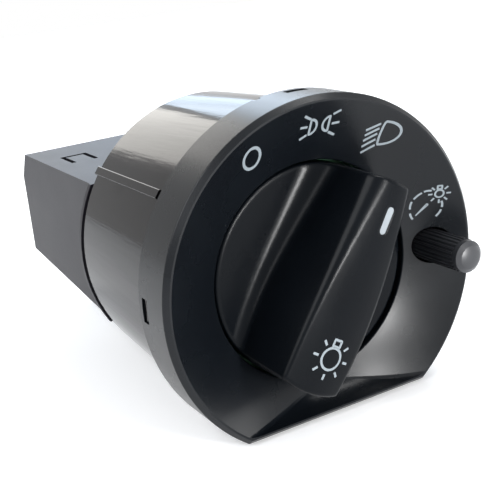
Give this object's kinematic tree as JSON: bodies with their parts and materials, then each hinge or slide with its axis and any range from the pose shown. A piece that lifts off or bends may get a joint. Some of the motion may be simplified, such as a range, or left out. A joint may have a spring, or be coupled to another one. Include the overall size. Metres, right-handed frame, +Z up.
{
  "type": "rotary car light switch",
  "caption": "Rotary headlamp switch with a round dished bezel flat at its lower edge, a bar-grip knob, a fluted dimmer knob, a tapered sleeve and a rear connector block.",
  "frame": {"origin": "on the knob's axis, in the plane where the bezel's rear edge seats on the panel", "axes": "+Y along the knob's axis from the driver into the panel, +X to the driver's right, +Z up; the flat edge of the bezel is at the bottom"},
  "size_m": [0.074, 0.1136, 0.0668],
  "materials": {
    "satin_black_plastic": "satin",
    "knob_black_plastic": "satin",
    "gloss_black_plastic": "glossy",
    "block_plastic": "matte",
    "dimmer_plastic": "satin",
    "light_plastic": "translucent",
    "pale_plastic": "matte",
    "board": "satin",
    "lamp": "glossy",
    "steel": "brushed",
    "spring_steel": "drawn",
    "brass": "bright"
  },
  "bodies": {
    "body": {"bezel": "satin_black_plastic", "contact_plate": "pale_plastic", "housing": "gloss_black_plastic", "rear_lid": "block_plastic", "rear_block": "block_plastic", "detent_plunger": "pale_plastic", "detent_spring": "spring_steel", "circuit_board": "board", "light_guide": "light_plastic", "dimmer_spring": "spring_steel", "potentiometer": "block_plastic", "catch_spring": "spring_steel", "lamp_off": "lamp", "lamp_parking": "lamp", "lamp_headlight": "lamp", "lamp_dimmer": "lamp", "lamp_pointer": "lamp", "contact_track_1": "brass", "contact_track_2": "brass", "contact_track_3": "brass", "terminal_1": "brass", "terminal_2": "brass", "terminal_3": "brass", "terminal_4": "brass", "terminal_5": "brass", "terminal_6": "brass", "terminal_7": "brass", "terminal_8": "brass"},
    "rotor": {"contact_rotor": "pale_plastic", "return_spring": "spring_steel", "contact_bridge_1": "brass", "contact_bridge_2": "brass", "contact_bridge_3": "brass"},
    "knob": {"knob": "knob_black_plastic", "knob_indicator": "light_plastic", "knob_spindle": "steel"},
    "dimmer_rotor": {"dimmer_wiper": "pale_plastic"},
    "dimmer": {"dimmer_knob": "dimmer_plastic", "dimmer_shaft": "steel"},
    "catch": {"lock_catch": "block_plastic"}
  },
  "joints": [
    {"name": "knob_turn", "type": "hinge", "parent": "body", "child": "rotor", "pos_m": [0, 0, 0], "axis": [0, -1, 0], "range_deg": [0, 59]},
    {"name": "knob_push", "type": "slide", "parent": "rotor", "child": "knob", "axis": [0, 1, 0], "range_m": [0, 0.0025], "stiffness_N_per_m": 1500, "springref_m": -0.002, "deforming": ["return_spring"]},
    {"name": "dimmer_turn", "type": "hinge", "parent": "body", "child": "dimmer_rotor", "pos_m": [0.029, 0, -0.001], "axis": [0, 1, 0], "range_deg": [-60, 60]},
    {"name": "dimmer_push", "type": "slide", "parent": "dimmer_rotor", "child": "dimmer", "axis": [0, 1, 0], "range_m": [0, 0.01], "stiffness_N_per_m": 120, "springref_m": -0.008, "deforming": ["dimmer_spring"]},
    {"name": "catch_slide", "type": "slide", "parent": "body", "child": "catch", "axis": [0, 0, 1], "range_m": [0, 0.0022], "stiffness_N_per_m": 800, "springref_m": -0.001, "deforming": ["catch_spring"]}
  ]
}
